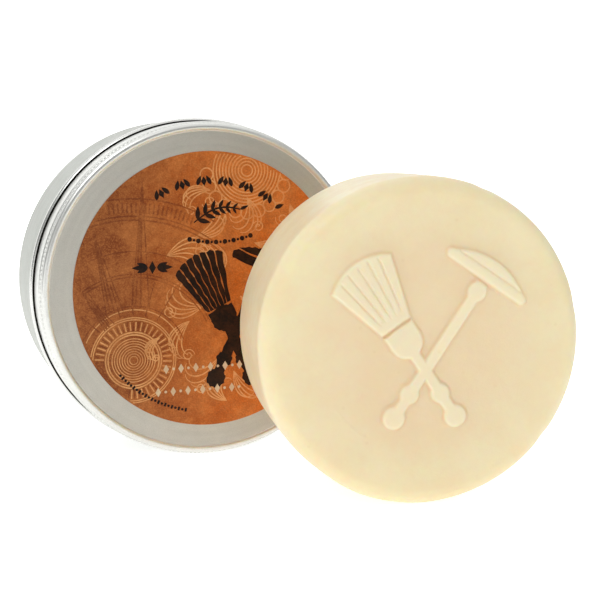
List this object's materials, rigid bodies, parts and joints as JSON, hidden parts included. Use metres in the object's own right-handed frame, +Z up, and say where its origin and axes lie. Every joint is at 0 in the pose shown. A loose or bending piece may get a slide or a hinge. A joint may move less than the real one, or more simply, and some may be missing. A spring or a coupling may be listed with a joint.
{
  "type": "shaving soap puck with screw-lid tin",
  "caption": "Round moulded puck of shaving soap with a raised emblem, standing on its rim in front of its labelled screw-lid aluminium tin.",
  "frame": {"origin": "on the surface the pieces stand on, under the middle of the whole set's bounding box", "axes": "+Z up; the tin's axis runs along Y and its lid faces -Y, towards the viewer; +X is to the right, where the puck stands"},
  "size_m": [0.1214, 0.1038, 0.09],
  "materials": {
    "tin": "satin spun aluminium with a bright rolled bead",
    "lid": "satin aluminium panel, bright rim and knurled grip band",
    "foam": "white closed-cell foam",
    "lid_paper": "satin printed paper in mottled brown and orange with line ornaments",
    "base_paper": "matt printed paper",
    "soap": "waxy, slightly translucent hard soap"
  },
  "bodies": {
    "tin": {"tin_base": "tin", "base_label": "base_paper"},
    "liner": {"lid_liner": "foam"},
    "lid": {"tin_lid": "lid", "lid_label": "lid_paper"},
    "puck": {"soap_puck": "soap"}
  },
  "joints": [
    {"name": "lid_rise", "type": "slide", "parent": "tin", "child": "liner", "axis": [0, -1, 0], "range_m": [0, 0.0096]},
    {"name": "lid_turn", "type": "hinge", "parent": "liner", "child": "lid", "pos_m": [-0.01572, 0.01192, 0.045], "axis": [0, -1, 0], "range_deg": [0, 1080]},
    {"name": "puck_slide", "type": "slide", "parent": "tin", "child": "puck", "axis": [1, 0, 0], "range_m": [0, 0.06]}
  ],
  "couplings": [
    {"joint": "lid_rise", "follows": "lid_turn", "m_per_rad": 0.0005093}
  ]
}
